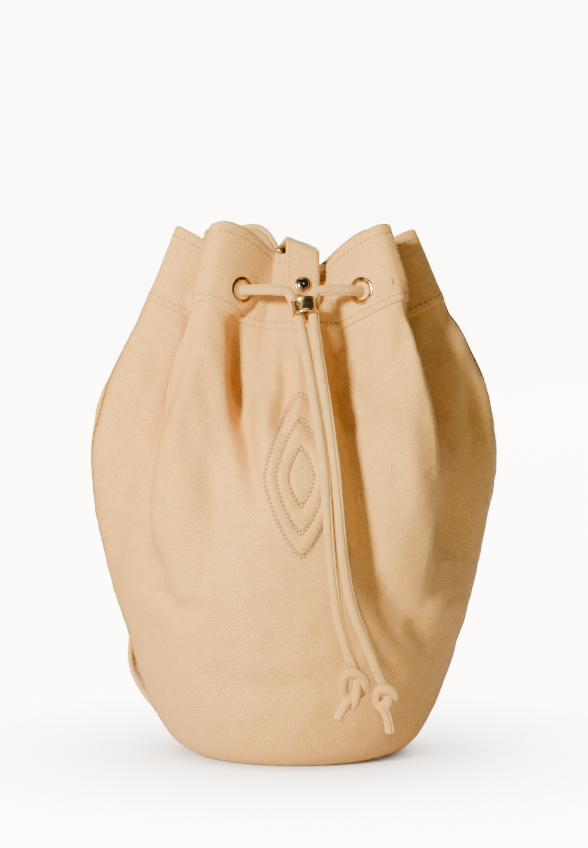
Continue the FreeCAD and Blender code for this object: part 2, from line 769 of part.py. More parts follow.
# Each strap is sewn under the anchor patch, follows the back and stands off the wall low at the
# side: (angle from the front, height on the wall, distance from the wall).
STRAP_ROUTE = [
    (172.0, 236.0, 2.4), (171.0, 224.0, 3.4), (167.0, 206.0, 4.4), (160.0, 184.0, 5.2),
    (151.0, 156.0, 5.6), (141.0, 127.0, 6.5), (131.0, 98.0, 9.5), (122.0, 72.0, 15.0),
    (115.0, 51.0, 17.5), (110.0, 36.0, 11.0), (108.0, 25.0, 3.8), (107.5, 18.0, 2.4),
]
HIGHEST = STRAP_ROUTE[0][1]


def strap(side, sign, looseness, further_back):
    """Strap from the anchor patch to the base; further_back turns its foot towards the back."""
    points, normals = [], []
    for angle, level, distance in STRAP_ROUTE:
        turn = sign * (angle + further_back * (1.0 - level / HIGHEST))
        stand = 2.0 + looseness * (distance - 2.0)
        points.append(off_wall(turn, level, stand))
        normals.append(wall_normal(turn, level, folds=0.0))
    feature("shoulder_strap_" + side,
            ribbon(points, normals, size("strap_width"), size("strap_thickness")))


strap("left", -1, 1.0, 0.0)
strap("right", 1, 0.5, 9.0)

patch_levels = spread(238.0, 258.0, 6)
patch_angles = spread(164.0, 194.0, 12)
feature("strap_anchor", wall_slab(patch_angles, patch_levels, 2.5, 0.3))
for side, sign, middle in (("left", -1, 107.5), ("right", 1, 115.9)):
    foot_angles = spread(sign * (middle - 8.0), sign * (middle + 8.0), 6)
    if sign < 0:
        foot_angles.reverse()
    feature("strap_foot_" + side, wall_slab(foot_angles, spread(5.0, 16.0, 4), 2.2, 0.3))

# ---------------------------------------------------------------- checks and export

doc.recompute()
for obj in doc.Objects:
    if "Invalid" in obj.State or "Error" in obj.State:
        raise RuntimeError("%s is %s" % (obj.Label, obj.State))
os.makedirs("parts", exist_ok=True)
for obj in finished:
    if obj.Shape.isNull() or not obj.Shape.isValid():
        raise RuntimeError("%s has a bad shape" % obj.Label)
    if obj.Shape.Volume <= 0:
        raise RuntimeError("%s has no volume" % obj.Label)
for obj in finished:
    obj.Shape.exportStep("parts/%s.step" % obj.Label)
print(len(finished), "sub-parts")
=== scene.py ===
import math

import bpy
import numpy as np
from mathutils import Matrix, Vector
from mathutils.bvhtree import BVHTree


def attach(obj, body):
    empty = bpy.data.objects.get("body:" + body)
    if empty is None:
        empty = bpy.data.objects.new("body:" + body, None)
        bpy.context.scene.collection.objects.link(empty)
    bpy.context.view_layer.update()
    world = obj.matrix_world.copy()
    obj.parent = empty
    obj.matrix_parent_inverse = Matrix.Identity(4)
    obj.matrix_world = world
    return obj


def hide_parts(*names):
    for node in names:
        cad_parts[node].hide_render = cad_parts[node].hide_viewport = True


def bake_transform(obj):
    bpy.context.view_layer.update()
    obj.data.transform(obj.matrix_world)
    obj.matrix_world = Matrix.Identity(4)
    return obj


# Drawstring bucket bag, standing on its base with the mouth drawn closed. The shape functions work
# in millimetres and in degrees, where 0 is the front and 90 the right. Blender's meshes are in metres.
MM = 0.001
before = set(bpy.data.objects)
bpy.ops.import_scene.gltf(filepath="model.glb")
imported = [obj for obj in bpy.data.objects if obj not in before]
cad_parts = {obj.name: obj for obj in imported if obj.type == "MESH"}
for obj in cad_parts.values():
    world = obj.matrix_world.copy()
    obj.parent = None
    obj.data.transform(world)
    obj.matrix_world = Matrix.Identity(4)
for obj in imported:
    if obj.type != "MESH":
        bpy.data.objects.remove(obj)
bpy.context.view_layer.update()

# ---------------------------------- the wall's surface, as in the CAD

BAG_HEIGHT = 323.0
BELLY_HALF_WIDTH = 121.5
BAND_LEVEL = 280.0
VALLEY_DROP = 20.0
BACK_DROP = 11.0
EYELET_LEVEL = 293.0
SNAP_ANGLE = 7.6
SNAP_LEVEL = 303.5
LEATHER = 2.0
SIDE_PROFILE = [
    (0.000, 0.477), (0.015, 0.556), (0.043, 0.626), (0.105, 0.708), (0.217, 0.807), (0.384, 0.930),
    (0.542, 1.000), (0.663, 0.963), (0.774, 0.848), (0.885, 0.700), (1.000, 0.576),
]
DEPTH_RATIO_BASE = 0.87
DEPTH_RATIO_MOUTH = 0.77
# angles where a valley begins, is full, is still full and ends; its eyelets; depth; start; lateness
VALLEYS = [
    ((-40, -17, 25, 47), (-28.5, 36), 30, 110, 1.8),
    ((-84, -64, -62, -43), (-69.5, -51), 32, 60, 1.5),
    ((50, 66, 70, 92), (56.5, 76), 36, 80, 1.2),
    ((-132, -112, -110, -90), (-122, -100), 26, 90, 2.0),
    ((98, 118, 120, 140), (108, 130), 26, 90, 2.0),
    ((142, 162, 190, 224), (152, 207), 28, 110, 2.0),
]
FULL_DEPTH_LEVEL = 300.0
SEAM_RIGHT = 95.0
SEAM_LEFT = -87.0
SEAM_GAP = 0.5


def ease(x):
    """Smooth step from 0 at x = 0 to 1 at x = 1."""
    return 0.5 - 0.5 * np.cos(np.pi * np.clip(x, 0.0, 1.0))


def half_width(level):
    """Half width of the bag without its valleys: a smooth curve through SIDE_PROFILE."""
    xs = np.array([a for a, b in SIDE_PROFILE]) * BAG_HEIGHT
    ys = np.array([b for a, b in SIDE_PROFILE]) * BELLY_HALF_WIDTH
    slopes = np.empty_like(ys)
    slopes[1:-1] = (ys[2:] - ys[:-2]) / (xs[2:] - xs[:-2])
    slopes[0] = (ys[1] - ys[0]) / (xs[1] - xs[0])
    slopes[-1] = (ys[-1] - ys[-2]) / (xs[-1] - xs[-2])
    level = np.clip(level, 0.0, BAG_HEIGHT)
    i = np.clip(np.searchsorted(xs, level) - 1, 0, len(xs) - 2)
    span = xs[i + 1] - xs[i]
    u = (level - xs[i]) / span
    rise = (3 * u ** 2 - 2 * u ** 3) * (ys[i + 1] - ys[i])
    bend = (u ** 3 - 2 * u ** 2 + u) * slopes[i] + (u ** 3 - u ** 2) * slopes[i + 1]
    return ys[i] + rise + span * bend


def valley_share(angles, angle):
    """How much of a valley's depth is reached at an angle, 0 to 1."""
    begin, full, still, end = angles
    middle = 0.5 * (begin + end)
    angle = middle + (angle - middle + 180.0) % 360.0 - 180.0
    return np.minimum(ease((angle - begin) / (full - begin)), ease((end - angle) / (end - still)))


def plain_wall(angle, level):
    """Points of the CAD's outer surface, in mm."""
    angle, level = np.broadcast_arrays(np.asarray(angle, float), np.asarray(level, float))
    dent = np.zeros(angle.shape)
    share = np.zeros(angle.shape)
    for angles, eyelets, depth, start, late in VALLEYS:
        part = valley_share(angles, angle)
        dent += part * depth * ease((level - start) / (FULL_DEPTH_LEVEL - start)) ** late
        share += part
    drop = VALLEY_DROP * share * ease((level - 150.0) / 150.0)
    radians = np.radians(angle)
    drop = drop + BACK_DROP * (0.5 - 0.5 * np.cos(radians)) * ease((level - 100.0) / 200.0)
    wide = half_width(level)
    deep = wide * (DEPTH_RATIO_BASE + (DEPTH_RATIO_MOUTH - DEPTH_RATIO_BASE) * level / BAG_HEIGHT)
    x = (wide - dent) * np.sin(radians)
    y = -(deep - dent) * np.cos(radians)
    return np.stack([x, y, level - drop], axis=-1)


def normals_of(surface, angle, level):
    """Outward normals of a surface function of angle and level."""
    along = surface(angle + 0.3, level) - surface(angle - 0.3, level)
    up = surface(angle, level + 0.5) - surface(angle, np.maximum(level - 0.5, 0.0))
    normal = np.cross(along, up)
    return normal / np.linalg.norm(normal, axis=-1, keepdims=True)


# ---------------------------------- metal places on the wall


def unit(vector):
    return vector / np.linalg.norm(vector, axis=-1, keepdims=True)


def eyelet_places():
    """(point, outward normal) of the twelve eyelets, one on each side of each valley, as in the CAD."""
    places = []
    for angles, eyelets, depth, start, late in VALLEYS:
        for angle in eyelets:
            places.append((plain_wall(angle, EYELET_LEVEL), normals_of(plain_wall, angle, EYELET_LEVEL)))
    return places


TAB_X = 4.2
EYELET_FLANGE = 8.7
SNAP_SEAT = 4.6
SEAT_BLEND = 6.0
SEAT_REACH = 12.0
RIGHT = np.array([1.0, 0.0, 0.0])
EYELETS = eyelet_places()
snap_point = plain_wall(SNAP_ANGLE, SNAP_LEVEL)
snap_point[0] = TAB_X
snap_normal = normals_of(plain_wall, SNAP_ANGLE, SNAP_LEVEL)
snap_normal[0] = 0.0
snap_normal = unit(snap_normal)
tab_down = unit(np.cross(RIGHT, snap_normal))
SEATS = [(point, normal, EYELET_FLANGE) for point, normal in EYELETS]
SEATS.append((snap_point, snap_normal, SNAP_SEAT))

# ---------------------------------- folds of the soft leather

# Creases seen from the front, as (x, z) lines: points, half width, depth (inwards), each end faded.
FRONT_CREASES = [
    ([(-27, 282), (-32, 257), (-34, 235), (-33, 211), (-27, 185), (-20, 158)], 6.0, 12.0),
    ([(21, 256), (34, 208), (41, 160), (46, 118), (60, 100)], 7.5, 14.0),
    ([(-58, 286), (-62, 262), (-67, 246), (-80, 218), (-88, 200), (-95, 160), (-98, 122)], 7.0, 9.0),
    ([(92, 170), (98, 145), (98, 120)], 9.0, 7.0),
    ([(-8, 258), (-6, 225), (-8, 196)], 5.0, 4.0),
    ([(100, 236), (109, 196), (112, 160)], 6.0, 4.0),
    ([(-56, 196), (-48, 160), (-46, 128)], 9.0, 5.0),
    ([(-100, 140), (-84, 118), (-78, 96)], 9.0, 5.5),
    ([(-92, 108), (-70, 96), (-56, 100)], 6.0, 4.0),
    ([(-62, 62), (-28, 50), (10, 54), (44, 46)], 9.0, 3.0),
    ([(62, 96), (80, 74), (92, 72)], 7.0, 4.5),
    ([(-48, 262), (-46, 236), (-44, 205)], 6.0, -3.0),
    ([(10, 262), (14, 235), (20, 205)], 5.0, -2.5),
    ([(-20, 200), (-14, 160), (-16, 120)], 16.0, -3.0),
    ([(60, 230), (68, 180), (76, 140)], 10.0, -6.0),
    ([(-70, 190), (-72, 150), (-66, 110)], 12.0, -4.0),
]
# Valleys drawn in further below the band: angles as in VALLEYS, first and last level, depth.
DEEPER_VALLEYS = [
    ((42, 53, 66, 84), (95, 292), 15.0), ((-86, -72, -60, -45), (110, 292), 11.0),
    ((-130, -112, -108, -92), (100, 280), 6.0), ((100, 116, 122, 138), (100, 280), 6.0),
    ((146, 164, 186, 216), (110, 280), 7.0), ((-36, -24, -18, -6), (150, 285), 5.0),
]
# The same on the back, as (x, z) lines seen through the bag.
BACK_CREASES = [
    ([(-58, 250), (-70, 210), (-78, 170), (-76, 130)], 10.0, 6.5),
    ([(52, 250), (64, 206), (72, 164), (70, 120)], 10.0, 6.5),
    ([(-14, 210), (-22, 168), (-26, 130)], 8.0, 5.0),
    ([(22, 214), (26, 170), (24, 134)], 8.0, 4.5),
    ([(-60, 80), (-20, 64), (30, 70), (64, 84)], 10.0, 3.0),
    ([(96, 200), (104, 150), (98, 110)], 9.0, 4.5),
    ([(-96, 200), (-104, 150), (-98, 110)], 9.0, 4.5),
]
# Feature sizes, in mm, of the small unevenness of soft leather.
GATHER_SIZE = (9.0, 9.0, 70.0)
SOFT_SIZE = (34.0, 34.0, 46.0)
SOFTER_SIZE = (15.0, 15.0, 22.0)
WRINKLE_SIZE = (7.0, 7.0, 4.5)
NOISE_SIDE = 64
lattice = np.random.default_rng(7).random((NOISE_SIDE, NOISE_SIDE, NOISE_SIDE))


def smooth_noise(points, scales):
    """Value noise from -1 to 1 at points, with a feature size in mm along each axis."""
    place = points / np.asarray(scales, float)
    cell = np.floor(place).astype(int)
    part = place - cell
    part = part * part * (3.0 - 2.0 * part)
    total = 0.0
    for dx in (0, 1):
        for dy in (0, 1):
            for dz in (0, 1):
                corner = (cell + (dx, dy, dz)) % NOISE_SIDE
                weight = 1.0
                for axis, step in enumerate((dx, dy, dz)):
                    weight = weight * (part[..., axis] if step else 1.0 - part[..., axis])
                total = total + weight * lattice[corner[..., 0], corner[..., 1], corner[..., 2]]
    return 2.0 * total - 1.0


def to_polyline(x, z, points):
    """Distance from (x, z) to a line, and how far along it the nearest place is, 0 to 1."""
    best = np.full(x.shape, 1e9)
    share = np.zeros(x.shape)
    lengths = [math.dist(a, b) for a, b in zip(points, points[1:])]
    total = sum(lengths)
    done = 0.0
    for (ax, az), (bx, bz), length in zip(points, points[1:], lengths):
        u = np.clip(((x - ax) * (bx - ax) + (z - az) * (bz - az)) / length ** 2, 0.0, 1.0)
        distance = np.hypot(x - ax - u * (bx - ax), z - az - u * (bz - az))
        nearer = distance < best
        best = np.where(nearer, distance, best)
        share = np.where(nearer, (done + u * length) / total, share)
        done += length
    return best, share


MOTIF_CENTRE = (3.0, 178.0)
MOTIF_SIZE = (21.0, 46.0)
MOTIF_RINGS = (1.0, 0.7, 0.36)
MOTIF_POWER = 1.35
MOTIF_SWELL = 1.6


def motif_ring(x, z):
    """1 on the outer pointed oval of the stitched motif, 0 at its middle."""
    across = np.abs((x - MOTIF_CENTRE[0]) / MOTIF_SIZE[0]) ** MOTIF_POWER
    along = np.abs((z - MOTIF_CENTRE[1]) / MOTIF_SIZE[1]) ** MOTIF_POWER
    return (across + along) ** (1.0 / MOTIF_POWER)


def padded_motif(x, z):
    """Outward swell of the padded motif: raised between its rows of stitches."""
    ring = motif_ring(x, z)
    swell = np.zeros(ring.shape)
    for outer, inner in zip(MOTIF_RINGS, MOTIF_RINGS[1:] + (-0.36,)):
        middle = 0.5 * (outer + inner)
        swell += np.clip(1.0 - ((ring - middle) / (0.5 * (outer - inner))) ** 2, 0.0, 1.0) ** 0.6
    return MOTIF_SWELL * swell


def creased(point, angle, level):
    """How far the soft leather lies inside the plain wall, in mm."""
    inwards = np.zeros(angle.shape)
    turned = (angle + 180.0) % 360.0 - 180.0
    front = ease((100.0 - np.abs(turned)) / 20.0)
    for lines, facing in ((FRONT_CREASES, front), (BACK_CREASES, 1.0 - front)):
        for points, half, depth in lines:
            distance, share = to_polyline(point[..., 0], point[..., 2], points)
            fade = np.sin(np.pi * np.clip(0.08 + 0.84 * share, 0, 1)) ** 1.2
            inwards += facing * depth * fade * np.exp(-(distance / half) ** 2)
    inwards -= front * (np.abs(turned) < 60.0) * padded_motif(point[..., 0], point[..., 2])
    free = ease(level / 40.0)
    below_band = ease((BAND_LEVEL - level) / 12.0)
    gathers = smooth_noise(point, GATHER_SIZE) * ease((level - 120.0) / 110.0)
    soft = smooth_noise(point + 40.0, SOFT_SIZE) + 0.5 * smooth_noise(point + 9.0, SOFTER_SIZE)
    wrinkles = smooth_noise(point + 70.0, WRINKLE_SIZE)
    return inwards + free * below_band * (2.4 * gathers + 2.0 * soft + 0.3 * wrinkles)


def seated(point):
    """Flattens the leather round each eyelet and the press stud, where the metal clamps it."""
    for place, normal, flat in SEATS:
        offset = point - place
        height = offset @ normal
        around = np.linalg.norm(offset - height[..., None] * normal, axis=-1)
        share = ease((flat + SEAT_BLEND - around) / SEAT_BLEND) * (np.abs(height) < SEAT_REACH)
        point = point - normal * (height * share)[..., None]
    return point


# Local dips and lifts of the rim: angle, half width in degrees, how far the rim goes down.
RIM_START = 302.0
RIM_SHAPE = [
    (19.0, 9.0, 15.0), (-30.0, 9.0, -4.0), (-58.0, 7.0, 4.0), (-158.0, 12.0, -17.0), (68.0, 8.0, -6.0),
    (106.0, 14.0, 5.0),
]


def wall(angle, level):
    """Points of the soft leather's outer surface, in mm."""
    angle, level = np.broadcast_arrays(np.asarray(angle, float), np.asarray(level, float))
    point = plain_wall(angle, level)
    normal = normals_of(plain_wall, angle, level)
    point = point - normal * creased(point, angle, level)[..., None]
    radians = np.radians(angle)
    deeper = np.zeros(angle.shape)
    for angles, (low, high), depth in DEEPER_VALLEYS:
        window = np.sin(np.pi * np.clip((level - low) / (high - low), 0.0, 1.0)) ** 0.8
        deeper += depth * valley_share(angles, angle) * window
    point[..., 0] -= deeper * np.sin(radians)
    point[..., 1] += deeper * np.cos(radians)
    point = seated(point)
    turned = (angle + 180.0) % 360.0 - 180.0
    near_rim = ease((level - RIM_START) / (BAG_HEIGHT - RIM_START))
    for middle, half, drop in RIM_SHAPE:
        point[..., 2] -= drop * np.exp(-((turned - middle) / half) ** 2) * near_rim
    return point


def off_wall(angle, level, outwards):
    """Points at a distance outside the soft leather, in mm."""
    angle, level = np.broadcast_arrays(np.asarray(angle, float), np.asarray(level, float))
    point = wall(angle, level)
    return point + normals_of(wall, angle, level) * np.asarray(outwards, float)[..., None]


# ---------------------------------- camera and stage

CAMERA_TARGET = Vector((-0.001, 0.0, 0.199))
CAMERA_DISTANCE = 2.6
CAMERA_ELEVATION = math.radians(6.0)
FRAME_HEIGHT = 0.509

camera_data = bpy.data.cameras.new("camera")
camera = bpy.data.objects.new("camera", camera_data)
bpy.context.scene.collection.objects.link(camera)
camera_data.sensor_fit = "VERTICAL"
camera_data.sensor_height = 36.0
camera_data.lens = 36.0 * CAMERA_DISTANCE / FRAME_HEIGHT
camera_data.clip_end = 20.0
camera.location = CAMERA_TARGET + Vector(
    (0.0, -math.cos(CAMERA_ELEVATION), math.sin(CAMERA_ELEVATION))) * CAMERA_DISTANCE
camera.rotation_euler = (CAMERA_TARGET - camera.location).to_track_quat("-Z", "Y").to_euler()
bpy.context.scene.camera = camera


def area_light(name, place, target, size, power, colour):
    """Rectangular light at a place, turned towards a target; size in metres, power in watts."""
    data = bpy.data.lights.new(name, "AREA")
    data.shape = "RECTANGLE"
    data.size, data.size_y = size
    data.energy = power
    data.color = colour
    light = bpy.data.objects.new(name, data)
    bpy.context.scene.collection.objects.link(light)
    light.location = place
    light.rotation_euler = (Vector(target) - Vector(place)).to_track_quat("-Z", "Y").to_euler()


BAG_MIDDLE = (0, 0, 0.17)
WARM = (1.0, 0.97, 0.93)
COOL = (0.85, 0.92, 1.0)
area_light("key", (-1.15, -1.75, 0.95), BAG_MIDDLE, (0.35, 0.35), 155.0, WARM)
area_light("fill", (-0.6, -2.2, 0.2), (0, 0, 0.1), (1.2, 1.2), 3.0, (0.8, 0.9, 1.0))
area_light("rim", (1.5, 0.5, 0.6), BAG_MIDDLE, (0.5, 0.5), 5.0, COOL)
area_light("back", (0.7, 2.3, 0.9), BAG_MIDDLE, (0.9, 0.9), 35.0, WARM)
area_light("top", (-0.2, 0.2, 1.5), (0, 0, 0.2), (0.8, 0.8), 5.0, COOL)


def seen_and_lit(tree, seen, lit):
    """Strength that is one value for the camera and another as a light."""
    path = tree.nodes.new("ShaderNodeLightPath")
    strength = tree.nodes.new("ShaderNodeMapRange")
    strength.inputs["To Min"].default_value = lit
    strength.inputs["To Max"].default_value = seen
    tree.links.new(path.outputs["Is Camera Ray"], strength.inputs["Value"])
    return strength.outputs["Result"]


STUDIO_WHITE = (1.0, 0.90, 0.82, 1)
BACKDROP_SEEN = 11.5
world = bpy.data.worlds.new("studio")
bpy.context.scene.world = world
world.use_nodes = True
background = world.node_tree.nodes["Background"]
background.inputs["Color"].default_value = STUDIO_WHITE
WORLD_LIGHT = 0.06
world_strength = seen_and_lit(world.node_tree, BACKDROP_SEEN, WORLD_LIGHT)
world.node_tree.links.new(world_strength, background.inputs["Strength"])

# ---------------------------------- materials


class Shader:
    """Small helper that builds a node material around one Principled shader."""

    def __init__(self, name):
        self.material = bpy.data.materials.new(name)
        self.material.use_nodes = True
        self.tree = self.material.node_tree
        self.principled = self.tree.nodes["Principled BSDF"]
        self.place = self.add("ShaderNodeTexCoord").outputs["Object"]

    def add(self, kind, **values):
        node = self.tree.nodes.new(kind)
        for key, value in values.items():
            setattr(node, key, value)
        return node

    def link(self, source, target):
        self.tree.links.new(source, target)

    def value(self, name, number):
        self.principled.inputs[name].default_value = number
        return self

    def noise(self, scale, detail=3.0, roughness=0.5, stretch=None):
        node = self.add("ShaderNodeTexNoise")
        node.inputs["Scale"].default_value = scale
        node.inputs["Detail"].default_value = detail
        node.inputs["Roughness"].default_value = roughness
        self.link(self.stretched(stretch), node.inputs["Vector"])
        return node.outputs["Fac"]

    def stretched(self, stretch):
        if stretch is None:
            return self.place
        node = self.add("ShaderNodeMapping")
        node.inputs["Scale"].default_value = stretch
        self.link(self.place, node.inputs["Vector"])
        return node.outputs["Vector"]

    def cells(self, scale, stretch=None):
        node = self.add("ShaderNodeTexVoronoi", feature="DISTANCE_TO_EDGE")
        node.inputs["Scale"].default_value = scale
        self.link(self.stretched(stretch), node.inputs["Vector"])
        return node.outputs["Distance"]

    def remap(self, source, low, high, to_low=0.0, to_high=1.0):
        node = self.add("ShaderNodeMapRange")
        for index, number in enumerate((low, high, to_low, to_high), start=1):
            node.inputs[index].default_value = number
        self.link(source, node.inputs[0])
        return node.outputs[0]

    def maths(self, operation, a, b):
        node = self.add("ShaderNodeMath", operation=operation)
        for index, item in enumerate((a, b)):
            if isinstance(item, (int, float)):
                node.inputs[index].default_value = item
            else:
                self.link(item, node.inputs[index])
        return node.outputs[0]

    def mix(self, share, a, b):
        node = self.add("ShaderNodeMix", data_type="RGBA")
        if isinstance(share, (int, float)):
            node.inputs[0].default_value = share
        else:
            self.link(share, node.inputs[0])
        for index, item in ((6, a), (7, b)):
            if isinstance(item, tuple):
                node.inputs[index].default_value = (*item, 1.0)
            else:
                self.link(item, node.inputs[index])
        return node.outputs[2]

    def bump(self, height, distance, strength=1.0):
        node = self.add("ShaderNodeBump")
        node.inputs["Strength"].default_value = strength
        node.inputs["Distance"].default_value = distance
        self.link(height, node.inputs["Height"])
        self.link(node.outputs["Normal"], self.principled.inputs["Normal"])


GRAIN_HEIGHT = 0.00034
SCUFF_HEIGHT = 0.00002
TWIST_HEIGHT = 0.00006
WEAVE_HEIGHT = 0.0002


def darker_by(share, colour):
    return tuple(channel * share for channel in colour)


def leather_material(name, light, dark, grain=1.0, rough=0.36):
    """Pebbled leather: cell grain with soft wrinkles, paler on the pebbles than in the grooves, where
    the darkening is painted shade.
    """
    s = Shader(name)
    broad = s.noise(9.0, 4.0)
    mottled = s.noise(140.0, 3.0)
    pebbles = s.cells(900.0 / grain)
    wide_pebbles = s.cells(560.0 / grain, stretch=(1.0, 1.0, 1.35))
    wrinkle = s.noise(210.0 / grain, 4.0, 0.6, stretch=(0.6, 0.6, 1.7))
    groove = s.remap(pebbles, 0.0, 0.22)
    wide_groove = s.remap(wide_pebbles, 0.0, 0.16)
    tint = s.maths("ADD", s.remap(broad, 0.3, 0.7, 0.0, 0.55), s.remap(mottled, 0.3, 0.7, 0.0, 0.3))
    colour = s.mix(tint, light, dark)
    # The grooves between the pebbles are darkened in the base colour: painted shade.
    shade = s.maths("MULTIPLY", s.remap(groove, 0.0, 1.0, 0.94, 1.0),
                    s.remap(wide_groove, 0.0, 1.0, 0.96, 1.0))
    darker = s.mix(s.remap(shade, 0.8, 1.0, 1.0, 0.0), colour, darker_by(0.6, dark))
    s.link(darker, s.principled.inputs["Base Color"])
    height = s.maths("ADD", s.maths("MULTIPLY", groove, 0.5), s.maths("MULTIPLY", wide_groove, 0.7))
    height = s.maths("ADD", height, s.maths("MULTIPLY", wrinkle, 0.9))
    s.bump(height, GRAIN_HEIGHT)
    s.link(s.remap(mottled, 0.3, 0.7, rough - 0.05, rough + 0.09), s.principled.inputs["Roughness"])
    s.value("Specular IOR Level", 0.42).value("Specular Tint", (1.0, 0.82, 0.58, 1.0))
    return s.material


def metal_material(name, colour, rough=0.16):
    """Polished metal with faint scuffs and uneven haze."""
    s = Shader(name)
    haze = s.noise(500.0, 3.0)
    scuffs = s.noise(60.0, 5.0, 0.7)
    s.link(s.mix(s.remap(scuffs, 0.35, 0.7), colour, darker_by(0.86, colour)),
           s.principled.inputs["Base Color"])
    s.value("Metallic", 1.0)
    s.link(s.remap(haze, 0.3, 0.7, rough - 0.05, rough + 0.12), s.principled.inputs["Roughness"])
    s.bump(scuffs, SCUFF_HEIGHT, 0.4)
    return s.material


def thread_material(name, colour):
    """Twisted thread: slanted bands along it."""
    s = Shader(name)
    twist = s.add("ShaderNodeTexWave", wave_type="BANDS", bands_direction="DIAGONAL")
    twist.inputs["Scale"].default_value = 1400.0
    s.link(s.place, twist.inputs["Vector"])
    s.link(s.mix(twist.outputs["Fac"], darker_by(0.8, colour), colour),
           s.principled.inputs["Base Color"])
    s.bump(twist.outputs["Fac"], TWIST_HEIGHT, 0.6)
    s.value("Roughness", 0.55)
    return s.material


def cloth_material(name, colour):
    """Plain woven cotton."""
    s = Shader(name)
    warp = s.add("ShaderNodeTexWave", wave_type="BANDS", bands_direction="X")
    weft = s.add("ShaderNodeTexWave", wave_type="BANDS", bands_direction="Z")
    for wave in (warp, weft):
        wave.inputs["Scale"].default_value = 420.0
        wave.inputs["Distortion"].default_value = 0.4
        s.link(s.place, wave.inputs["Vector"])
    weave = s.maths("MULTIPLY", warp.outputs["Fac"], weft.outputs["Fac"])
    s.link(s.mix(weave, darker_by(0.7, colour), colour), s.principled.inputs["Base Color"])
    s.bump(weave, WEAVE_HEIGHT, 0.5)
    s.value("Roughness", 0.85).value("Sheen Weight", 0.3)
    return s.material


CREAM = (0.90, 0.50, 0.125)
CREAM_DARK = (0.80, 0.38, 0.065)
leather = leather_material("cream_leather", CREAM, CREAM_DARK)
cord_leather = leather_material("cord_leather", (0.92, 0.56, 0.17), (0.82, 0.44, 0.09), 0.6, 0.38)
# Darker copy of the cream leather for the rim's inside facing: the darkening is painted shade for the
# shade inside the mouth.
inside_leather_painted_shade = leather_material("inside_leather_painted_shade", (0.66, 0.38, 0.12), (0.54, 0.28, 0.07), 0.8, 0.55)
gold = metal_material("gold_metal", (0.72, 0.48, 0.17))
# Polished metal coloured dark to stand for the dark room reflected in it: a painted reflection.
gold_with_painted_reflection = metal_material("gold_with_painted_reflection", (0.30, 0.23, 0.15), 0.1)
brown_thread = thread_material("thread", (0.42, 0.23, 0.07))
lining_cloth = cloth_material("lining_cloth", (0.16, 0.10, 0.06))
board_face = cloth_material("board", (0.10, 0.08, 0.06))

# ---------------------------------- mesh helpers


def add_mesh(name, points, faces, material, body="bag"):
    """Smooth mesh object, points in metres, that rides a body unless body is None."""
    mesh = bpy.data.meshes.new(name)
    mesh.from_pydata([tuple(p) for p in points], [], faces)
    mesh.validate()
    mesh.update()
    mesh.materials.append(material)
    mesh.shade_smooth()
    obj = bpy.data.objects.new(name, mesh)
    bpy.context.scene.collection.objects.link(obj)
    if body:
        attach(obj, body)
    return obj


def grid_faces(rows, columns, wrap_rows=False, wrap_columns=False, start=0):
    """Quads of a grid whose point (i, j) is start + i * columns + j."""
    faces = []
    for i in range(rows if wrap_rows else rows - 1):
        for j in range(columns if wrap_columns else columns - 1):
            k, m = (i + 1) % rows, (j + 1) % columns
            faces.append((start + i * columns + j, start + k * columns + j,
                          start + k * columns + m, start + i * columns + m))
    return faces


def shell_profile(levels, outside, inside, edge=4):
    """Closed loop of (level, distance from the wall) round a layer with rounded edges."""
    middle = 0.5 * (outside + inside)
    radius = 0.5 * (outside - inside)
    loop = [(level, outside) for level in levels]
    for k in range(1, edge):
        turn = math.pi * k / edge
        loop.append((levels[-1] + radius * math.sin(turn), middle + radius * math.cos(turn)))
    loop += [(level, inside) for level in reversed(levels)]
    for k in range(1, edge):
        turn = math.pi * k / edge
        loop.append((levels[0] - radius * math.sin(turn), middle - radius * math.cos(turn)))
    return loop


def wall_layer(name, angles, profile, material):
    """Layer of the wall: the profile's loop carried along the angles, with its two ends closed."""
    angle = np.array(angles)[:, None]
    level = np.array([p[0] for p in profile])[None, :]
    outwards = np.array([p[1] for p in profile])[None, :] + 0.0 * angle
    points = off_wall(angle, level, outwards)
    rows, columns = points.shape[:2]
    faces = grid_faces(rows, columns, wrap_columns=True)
    for row, flip in ((0, False), (rows - 1, True)):
        loop = [row * columns + j for j in range(columns)]
        for j in range(columns // 2 - 1):
            quad = [loop[j], loop[j + 1], loop[columns - 2 - j], loop[columns - 1 - j]]
            faces.append(tuple(quad if flip else reversed(quad)))
    return add_mesh(name, points.reshape(-1, 3) * MM, faces, material)


def spread(first, last, steps):
    """Evenly spaced numbers from first to last."""
    return [first + (last - first) * i / steps for i in range(steps + 1)]


# ---------------------------------- wall, band, facing, lining

